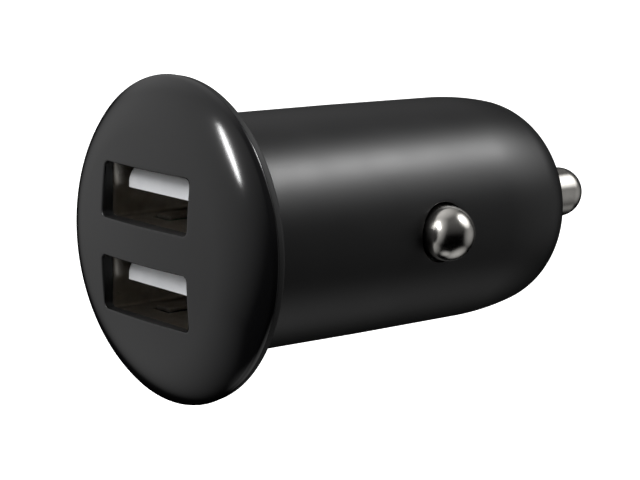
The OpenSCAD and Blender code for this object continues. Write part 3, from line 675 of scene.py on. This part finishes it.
def tube(path, radius, around=14):
    """A wire along a path: circles across it, built on the path's direction and the X axis."""
    along = np.gradient(path, axis=0)
    along /= np.linalg.norm(along, axis=1)[:, None]
    out = path * (0, 1, 1) + 1e-9
    out -= (out * along).sum(1)[:, None] * along
    out /= np.linalg.norm(out, axis=1)[:, None]
    other = np.cross(along, out)
    a = np.radians(np.arange(0, 360, 360 / around))[:, None, None]
    skin = path[None] + radius * (np.cos(a) * out[None] + np.sin(a) * other[None])
    ends = [np.broadcast_to(path[k], (around, 1, 3)) for k in (0, -1)]
    return np.concatenate([ends[0], skin, ends[1]], 1)


s = np.linspace(0, 1, 420)
turn = 2 * np.pi * TURNS * s
# the first and last three quarters of a turn lie flat, the turns between rise evenly
rise = np.clip((s * TURNS - FLAT_TURNS) / (TURNS - 2 * FLAT_TURNS), 0, 1)
coil = np.stack([SPRING_X[0] + WIRE_R + (SPRING_X[1] - SPRING_X[0] - 2 * WIRE_R) * rise,
                 COIL_R * np.cos(turn), COIL_R * np.sin(turn)], 1)
spring = piece("tip_spring_coil", [grid(tube(coil, WIRE_R))], None, "spring_steel", ["tip_spring"])
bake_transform(spring)

# %% Leaf springs
LEAF_T, LEAF_W, LEAF_Y, LEAF_X = 0.35, 4.2, 7.5, (10.796, 24.2)
FOOT_LEN, FOOT_W, FOOT_Y, FOOT_Z = 2.5, 2.78, 6.09, 1.045       # the part soldered to the board
for word, sign in (("left", 1), ("right", -1)):
    x = np.linspace(*LEAF_X, 40)
    path = np.stack([x, np.full(40, LEAF_Y + LEAF_T / 2)], 1)
    parts = [(p[:, [0, 2, 1]] * (1, sign, 1), f) for p, f in strip(path, LEAF_W, LEAF_T, 0.0)]
    foot = np.stack([np.linspace(LEAF_X[0], LEAF_X[0] + FOOT_LEN, 6), np.full(6, FOOT_Z)], 1)
    parts += [(p * (1, sign, 1), f) for p, f in strip(foot, FOOT_W, LEAF_T, FOOT_Y)]
    leaf = piece(f"leaf_spring_{word}", parts, None, "spring_steel", [f"ground_leaf_{word}"])
    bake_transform(leaf)

# %% [markdown]
# ## Materials
# One function turns sRGB hex colours into the linear values that a renderer needs, and one adds a
# node with its settings and links. Patterns are worked out in object coordinates, which are metres
# here, so a grain of 0.1 mm has a scale of 1 / 0.0001.

# %% Colour and node helpers
def linear(hex_colour):
    """sRGB hex to linear: v / 12.92 below 0.04045, otherwise ((v + 0.055) / 1.055) ^ 2.4."""
    v = np.array([int(hex_colour[k:k + 2], 16) for k in (1, 3, 5)]) / 255
    v = np.where(v <= 0.04045, v / 12.92, ((v + 0.055) / 1.055) ** 2.4)
    return (*map(float, v), 1.0)


def add(tree, kind, feeds=None, **settings):
    """One node of the named kind. Settings are its own properties or, by name, its inputs.
    Feeds give, by an input's name or number, what feeds it, a node standing for its first
    output, or its own value. A mix has its two numbers in 2 and 3, its two colours in 6 and 7."""
    made = tree.nodes.new(kind)
    for key, value in settings.items():
        if hasattr(made, key):
            setattr(made, key, value)
        else:
            made.inputs[key.replace("_", " ")].default_value = value
    for key, value in (feeds or {}).items():
        if isinstance(value, bpy.types.Node):
            value = value.outputs[0]
        if isinstance(value, bpy.types.NodeSocket):
            tree.links.new(value, made.inputs[key])
        else:
            made.inputs[key].default_value = value
    return made


def off(tree, value, middle):
    """How far a coordinate is from a middle, whichever way."""
    away = add(tree, "ShaderNodeMath", {0: value, 1: float(middle)}, operation="SUBTRACT")
    return add(tree, "ShaderNodeMath", {0: away}, operation="ABSOLUTE")


def past(tree, value, edge, rising=True, soft=0.02 * MM):
    """A mask that goes from 0 to 1 as the value passes an edge, or from 1 to 0."""
    low, high = (0.0, 1.0) if rising else (1.0, 0.0)
    return add(tree, "ShaderNodeMapRange", {"Value": value}, From_Min=float(edge) - soft,
               From_Max=float(edge) + soft, To_Min=low, To_Max=high)


def finish(name, colours, rough, metallic=0.0, grain=0.1, mottle=3.0, bump=0.01, stretch=(1, 1, 1),
           coat=0.0, second=None):
    """A surface finish: two close colours mixed by a soft mottle, a roughness that drifts with
    it, and a fine grain as bump. Grain and mottle are sizes in millimetres, bump a height in
    millimetres, and stretch draws the grain out along an axis. A second finish is given as
    (colour, roughness, metallic, where), and where builds a mask that is 1 in its places, from
    the three coordinates."""
    material = bpy.data.materials.new(name)
    material.use_nodes = True
    tree = material.node_tree
    tree.nodes.clear()
    place = add(tree, "ShaderNodeTexCoord").outputs["Object"]
    drawn = add(tree, "ShaderNodeMapping", {"Vector": place}, Scale=stretch)
    soft = add(tree, "ShaderNodeTexNoise", {"Vector": place}, Scale=1 / (mottle * MM), Detail=4.0)
    fine = add(tree, "ShaderNodeTexNoise", {"Vector": drawn}, Scale=1 / (grain * MM), Detail=3.0)
    shade = add(tree, "ShaderNodeValToRGB", {"Fac": soft})
    for element, spot, colour in zip(shade.color_ramp.elements, (0.3, 0.7), colours):
        element.position, element.color = spot, linear(colour)
    drift = add(tree, "ShaderNodeMath", {0: soft, 1: fine}, operation="ADD")
    level = add(tree, "ShaderNodeMapRange", {"Value": drift}, From_Min=0.6, From_Max=1.4,
                To_Min=rough[0], To_Max=rough[1])
    relief = add(tree, "ShaderNodeBump", {"Height": fine}, Strength=1.0, Distance=bump * MM)
    if second:
        colour, second_rough, second_metallic, where = second
        mask = where(tree, add(tree, "ShaderNodeSeparateXYZ", {"Vector": place}).outputs)
        shade = add(tree, "ShaderNodeMix", {0: mask, 6: shade, 7: linear(colour)},
                    data_type="RGBA").outputs[2]
        level = add(tree, "ShaderNodeMix", {0: mask, 2: level, 3: second_rough})
        if second_metallic != metallic:
            metallic = add(tree, "ShaderNodeMapRange", {"Value": mask}, To_Min=metallic,
                           To_Max=second_metallic)
    shader = add(tree, "ShaderNodeBsdfPrincipled", {"Base Color": shade, "Roughness": level,
                                                    "Metallic": metallic, "Normal": relief},
                 Coat_Weight=coat)
    add(tree, "ShaderNodeOutputMaterial", {"Surface": shader})
    material.diffuse_color = linear(colours[0])
    return material


def opened(slot):
    """A finish's nodes, to work on further: its tree, the place and its three coordinates as
    sockets, and the shader's inputs."""
    tree = look[slot].node_tree
    place = add(tree, "ShaderNodeTexCoord").outputs["Object"]
    xyz = add(tree, "ShaderNodeSeparateXYZ", {"Vector": place}).outputs
    return tree, place, xyz, tree.nodes["Principled BSDF"].inputs


# %% [markdown]
# The two mouldings are black ABS from polished steel moulds that were lightly blasted, so they
# have a satin sheen with a grain too fine to see one by one. The barrel's mould was blasted a
# little more than the cap's, and its lip, which hides in the rim's shade, more than the rest. The
# lip is also a slightly darker black, which is painted shade for the rim's shadow on it.

# %% Moulded plastics
def lip_rough_with_painted_shade(tree, xyz):
    """The barrel's lip: everything in front of the flange's back. It gets a rougher finish and a
    slightly darker black, which is painted shade for the rim's shadow.
    """
    return past(tree, xyz["X"], 0.05 * MM, rising=False)


look = {
    "cap_plastic": finish(
        "satin_black_abs_cap", ("#141415", "#171718"), (0.12, 0.155), grain=0.12, mottle=6.0,
        bump=0.0005),
    "barrel_plastic": finish(
        "blasted_black_abs_barrel", ("#0d0d0e", "#111112"), (0.36, 0.42), grain=0.10, mottle=5.0,
        # the lip's darker black, #0b0b0c, is painted shade where the rim's shadow falls
        bump=0.0012, second=("#0b0b0c", 0.62, 0.0, lip_rough_with_painted_shade)),
    "tongue_plastic": finish(
        "white_glass_filled_nylon", ("#f4f5f7", "#e9ebee"), (0.42, 0.52), grain=0.06, mottle=2.5,
        bump=0.0015)}

# %% Matte walls inside the ports
# The mould's two cores are spark eroded, so the port walls and the roundings at their edges are
# dull. They are found by their depth under the dome, x - (its middle + r^2 / (2 R)), and by their
# distance r from the axis, which stays below the dome's edge.
PORT_ROUGH, PORT_REACH = 0.5, 9.3
tree, place, xyz, shader = opened("cap_plastic")
across = add(tree, "ShaderNodeVectorMath", {0: place, 1: (0, 1, 1)}, operation="MULTIPLY")
radius = add(tree, "ShaderNodeVectorMath", {0: across}, operation="LENGTH").outputs["Value"]
sag = add(tree, "ShaderNodeMath", {0: radius, 1: radius}, operation="MULTIPLY")
sag = add(tree, "ShaderNodeMath", {0: sag, 1: 2 * DOME_R * MM}, operation="DIVIDE")
depth = add(tree, "ShaderNodeMath", {0: xyz["X"], 1: sag}, operation="SUBTRACT")
under = past(tree, depth, (DOME_X - DOME_R + 0.045) * MM, soft=0.035 * MM)
within = past(tree, radius, PORT_REACH * MM, rising=False, soft=0.1 * MM)
dull = add(tree, "ShaderNodeMath", {0: under, 1: within}, operation="MULTIPLY")
polished = shader["Roughness"].links[0].from_socket
both = add(tree, "ShaderNodeMix", {0: dull, 2: polished, 3: PORT_ROUGH})
tree.links.new(both.outputs[0], shader["Roughness"])
print("port walls: roughness", PORT_ROUGH, "below the dome, within", PORT_REACH, "mm of the axis")

# %% Plated metals
look["nickel_plate"] = finish(
    "bright_nickel_on_turned_brass", ("#dddad5", "#cecbc5"), (0.16, 0.24), metallic=1.0, grain=0.25,
    mottle=2.0, bump=0.0012)
# The lathe leaves fine rings round each contact's own axis: X for the tip, behind x = 33 mm, and Y
# for the side contacts. They are drawn 0.12 mm apart, a few times coarser than the real ones.
TIP_FROM, RING_PITCH = 33, 0.12
tree, _, xyz, shader = opened("nickel_plate")
on_tip = add(tree, "ShaderNodeMath", {0: xyz["X"], 1: TIP_FROM * MM}, operation="GREATER_THAN")
along = add(tree, "ShaderNodeMix", {0: on_tip, 2: xyz["Y"], 3: xyz["X"]})
rings = add(tree, "ShaderNodeTexNoise", {"W": along}, noise_dimensions="1D",
            Scale=1 / (RING_PITCH * MM), Detail=2.0)
fine_relief = shader["Normal"].links[0].from_socket
marks = add(tree, "ShaderNodeBump", {"Height": rings, "Normal": fine_relief}, Strength=1.0,
            Distance=0.0008 * MM)
tree.links.new(marks.outputs["Normal"], shader["Normal"])
for slot, name, colours, rough, grain, mottle, bump, stretch in (
        ("shell_steel", "tinned_sheet_steel", ("#b9b5ae", "#9d978e"), (0.26, 0.38),
         0.08, 1.6, 0.0015, (0.12, 1, 1)),
        ("spring_steel", "spring_steel_wire", ("#a9a9a8", "#8d8c8a"), (0.22, 0.32),
         0.05, 1.0, 0.0015, (1, 1, 1)),
        ("brass_sheet", "punched_brass_sheet", ("#c39a48", "#a9813a"), (0.24, 0.36),
         0.08, 1.2, 0.002, (1, 0.15, 1)),
        ("gold_flash", "gold_flashed_pin", ("#d9b45c", "#c59c45"), (0.20, 0.30),
         0.06, 0.7, 0.001, (0.2, 1, 1))):
    look[slot] = finish(name, colours, rough, 1.0, grain, mottle, bump, stretch)

# %% [markdown]
# The parts inside show two finishes each: a moulded body with tinned ends, a sleeve with the can's
# bare end, a green mask with a raw edge. Each is one part of the real plug and one solid, so a mask
# worked out from the part's own box tells the finishes apart.

# %% Masks from the parts' boxes
def middle_and_half(node):
    """Middle and half size of a node's box, in metres."""
    low, high = np.array(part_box(node))
    return (low + high) / 2, (high - low) / 2


def plated_ends(tree, xyz):
    """The outer fifth of each small part, along its length across the board."""
    middle, half = middle_and_half("chip_capacitor_1")
    return past(tree, off(tree, off(tree, xyz["Y"], 0), abs(middle[1])), half[1] * 0.62)


def leads(tree, xyz):
    """What stands out past the long sides of a chip's moulded body."""
    beyond = []
    for node, share in CHIP_BODY.items():
        middle, half = middle_and_half(node)
        beyond.append(past(tree, off(tree, xyz["Y"], middle[1]), half[1] * share))
    return add(tree, "ShaderNodeMath", {0: beyond[0], 1: beyond[1]}, operation="MULTIPLY")


def can_end(tree, xyz):
    """The round end of the can that the sleeve leaves bare, and the stripe that marks the minus
    lead: the side of the can that looks towards the sockets."""
    tall, tall_half = middle_and_half("input_capacitor")
    short, short_half = middle_and_half("output_capacitor")
    above = past(tree, xyz["Z"], (tall[2] + short[2]) / 2)
    x_middle = add(tree, "ShaderNodeMapRange", {"Value": above}, To_Min=float(short[0]),
                   To_Max=float(tall[0]))
    x_off = add(tree, "ShaderNodeMath", {0: xyz["X"], 1: x_middle}, operation="SUBTRACT")
    stripe = past(tree, x_off, -0.82 * tall_half[0], rising=False)
    flat = add(tree, "ShaderNodeCombineXYZ", {"X": x_off, "Y": xyz["Y"]})
    far = add(tree, "ShaderNodeVectorMath", {0: flat}, operation="LENGTH").outputs["Value"]
    inner = past(tree, far, 0.84 * tall_half[0], rising=False)
    high = past(tree, xyz["Z"], tall[2] + tall_half[2] - 0.1 * MM)
    low = past(tree, xyz["Z"], short[2] - short_half[2] + 0.1 * MM, rising=False)
    ends = add(tree, "ShaderNodeMath", {0: high, 1: low}, operation="MAXIMUM")
    bare = add(tree, "ShaderNodeMath", {0: inner, 1: ends}, operation="MULTIPLY")
    return add(tree, "ShaderNodeMath", {0: stripe, 1: bare}, operation="MAXIMUM")


def raw_edge(tree, xyz):
    """The cut edge of the board, between its two faces."""
    middle, half = middle_and_half("circuit_board")
    return past(tree, off(tree, xyz["Z"], middle[2]), half[2] - 0.04 * MM, rising=False)


CHIP_BODY = {"converter_chip": 0.66, "identification_chip": 0.60}

# %% Materials of the parts inside
look.update({
    "board": finish(
        "green_solder_mask_on_glass_laminate", ("#1c5b36", "#154a2b"), (0.24, 0.40), grain=0.25,
        mottle=1.5, bump=0.006, coat=0.3, second=("#b8a871", 0.62, 0.0, raw_edge)),
    "capacitor_can": finish(
        "blue_shrink_sleeve_on_aluminium_can", ("#2a3957", "#202c45"), (0.28, 0.40), grain=0.3,
        mottle=1.5, bump=0.004, coat=0.2, second=("#c4c6c8", 0.30, 0.9, can_end)),
    "ferrite": finish(
        "sintered_ferrite", ("#3b3a3b", "#2c2b2c"), (0.50, 0.68), grain=0.12, mottle=0.9,
        bump=0.012),
    "copper_wire": finish(
        "enamelled_copper_wire", ("#b2622c", "#8f4a1e"), (0.20, 0.32), metallic=1.0, grain=0.2,
        mottle=1.0, bump=0.003, coat=0.6, stretch=(0.15, 0.15, 1)),
    "chip_mould": finish(
        "black_epoxy_mould_with_tinned_leads", ("#232324", "#1a1a1b"), (0.48, 0.62), grain=0.07,
        mottle=0.6, bump=0.006, second=("#c9c8c4", 0.28, 1.0, leads)),
    "chip_ceramic": finish(
        "fired_ceramic_chip_with_tinned_ends", ("#a88357", "#8f6d45"), (0.40, 0.55), grain=0.08,
        mottle=0.5, bump=0.005, second=("#c9c8c4", 0.32, 1.0, plated_ends))})

# %% [markdown]
# Under its green mask the board carries copper areas with thin gaps between them, which show as a
# lighter and a darker green and as a low step. They are drawn as cells of about 2.4 mm with
# straight borders, from the difference between the nearest and the second nearest cell middle.

# %% Copper areas under the mask
AREA = 2.4
tree, place, xyz, shader = opened("board")
nearest, second = [add(tree, "ShaderNodeTexVoronoi", {"Vector": place}, feature=feature,
                       distance="CHEBYCHEV", Scale=1 / (AREA * MM))
                   for feature in ("F1", "F2")]
gap = add(tree, "ShaderNodeMath", {0: second, 1: nearest}, operation="SUBTRACT")
copper = add(tree, "ShaderNodeMapRange", {"Value": gap}, From_Min=0.05, From_Max=0.09)
copper = add(tree, "ShaderNodeMath", {0: copper, 1: raw_edge(tree, xyz)}, operation="MAXIMUM")
mask_colour = shader["Base Color"].links[0].from_socket
lit = add(tree, "ShaderNodeMix", {0: copper, 6: linear("#0c3018"), 7: mask_colour}, data_type="RGBA")
tree.links.new(lit.outputs[2], shader["Base Color"])
fine_relief = shader["Normal"].links[0].from_socket
etched = add(tree, "ShaderNodeBump", {"Height": copper, "Normal": fine_relief}, Strength=1.0,
             Distance=0.02 * MM)
tree.links.new(etched.outputs["Normal"], shader["Normal"])
print("board: copper areas of", AREA, "mm under the mask")

# %% Put each finish on its pieces
for obj in list(bpy.data.objects):
    slot = obj.get("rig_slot")
    if obj.type == "MESH" and slot:
        obj.data.materials.clear()
        obj.data.materials.append(look[slot])
slots = {part["node"]: part["material_slot"] for part in frame["record"]["subparts"]}
for name, obj in frame["nodes"].items():
    for place in obj.material_slots:
        place.material = look[slots[name]]
print("finishes:", len(look))

# %% [markdown]
# ## Studio
# Black plastic shows little but the lights themselves, so each bright or dark spot of the
# photograph was turned round: where its mirror direction points, a light stands or none does.
# That gave a long strip in front and to the left, for the crescent on the rim, a second one high
# behind on the right, for the stripe along the barrel, and a few wide soft cards. The cards could
# be lights too, but a world that glows softly in their directions leaves no edges in the plastic.
# The floor is pale and bright, and only the camera sees it.

# %% Floor
REACH, DEPTH = 6.0, -0.07               # in metres, the scene's own unit
floor_mesh = bpy.data.meshes.new("floor")
floor_mesh.from_pydata([(x * REACH, y * REACH, DEPTH) for x, y in ((-1, -1), (1, -1), (1, 1), (-1, 1))],
                       [], [(0, 1, 2, 3)])
floor = bpy.data.objects.new("floor", floor_mesh)
bpy.context.scene.collection.objects.link(floor)
pale = bpy.data.materials.new("pale_studio_floor")
pale.use_nodes = True
shader = pale.node_tree.nodes["Principled BSDF"]
shader.inputs["Base Color"].default_value = linear("#f4f4f3")
shader.inputs["Roughness"].default_value = 0.9
shader.inputs["Emission Color"].default_value = linear("#ffffff")
shader.inputs["Emission Strength"].default_value = 1.0
floor_mesh.materials.append(pale)
floor.visible_glossy = False
floor.visible_diffuse = False


# %% Lights
DISTANCE, CENTRE = 0.6, np.array([0.01, 0, 0])      # metres, from the middle of the plug


def unit(azimuth, elevation):
    """Direction at an azimuth, counted from +X towards +Y, and an elevation, in degrees."""
    a, e = math.radians(azimuth), math.radians(elevation)
    return np.array([math.cos(e) * math.cos(a), math.cos(e) * math.sin(a), math.sin(e)])


def soft_light(name, centre, end, width, radiance):
    """A long oval soft light that looks at the plug. Its middle and one end are given as
    directions, (azimuth, elevation), and its width as an angle in degrees. Its power is pi times
    its area times its radiance, so that size and brightness stay separate choices."""
    z = unit(*centre)
    x = unit(*end) - z
    x -= (x @ z) * z
    long_half, x = np.linalg.norm(x), x / np.linalg.norm(x)
    size = 2 * long_half * DISTANCE, 2 * math.tan(math.radians(width / 2)) * DISTANCE
    light = bpy.data.lights.new(name, "AREA")
    light.shape, light.size, light.size_y = "ELLIPSE", *size
    light.energy = math.pi * (math.pi / 4 * size[0] * size[1]) * radiance
    obj = bpy.data.objects.new(name, light)
    bpy.context.scene.collection.objects.link(obj)
    axes = np.stack([x, np.cross(z, x), z], 1)
    obj.matrix_world = Matrix([[*row, c] for row, c in zip(axes, CENTRE + z * DISTANCE)]
                              + [[0, 0, 0, 1]])
    print(f"{name}: {size[0] / MM:.0f} by {size[1] / MM:.0f} mm, {light.energy:.2f} W")


soft_light("key_strip_front_left", (181, 37), (192.5, 23.5), 4.8, 42)
soft_light("strip_behind_right", (-30, 45.2), (-19, 48.4), 12, 25)

# %% [markdown]
# The cards are glows of the world behind everything: a reflector on the plug's left, its bounce
# behind, a soft box round the strip behind on the right, and the table top below. Each glow falls
# off with the angle from its middle, and where two meet, the brighter one counts.

# %% Room
world = bpy.data.worlds.new("studio")
bpy.context.scene.world = world
world.use_nodes = True
tree = world.node_tree
towards = add(tree, "ShaderNodeTexCoord").outputs["Generated"]


def glow(middle, reach, strength):
    """A soft glow: its strength times (cos of the angle from its middle - cos reach) over
    (1 - cos reach), and nothing beyond its reach."""
    cosine = add(tree, "ShaderNodeVectorMath", {0: towards, 1: unit(*middle)},
                 operation="DOT_PRODUCT")
    return add(tree, "ShaderNodeMapRange", {"Value": cosine.outputs["Value"]}, To_Min=0.0,
               From_Min=math.cos(math.radians(reach)), From_Max=1.0, To_Max=strength)


room = glow((0, 90), 90, 0.11)                  # ceiling
for card in (((147, 20), 75, 0.80),             # reflector on the plug's left
             ((140, -20), 50, 0.60),            # and its lower part
             ((95, 55), 55, 0.75),              # bounce behind it
             ((-26, 37), 27, 2.2),              # soft box round the strip behind
             ((-28, -4), 36, 0.34),             # its lower half
             ((-25, -63), 30, 0.55),            # table top below the barrel
             ((-160, -84), 18, 0.50)):          # and right below the contact
    room = add(tree, "ShaderNodeMath", {0: room, 1: glow(*card)}, operation="MAXIMUM")
sky = tree.nodes["Background"]
sky.inputs["Color"].default_value = linear("#ffffff")
tree.links.new(room.outputs[0], sky.inputs["Strength"])
bpy.context.scene.view_settings.view_transform = "Standard"
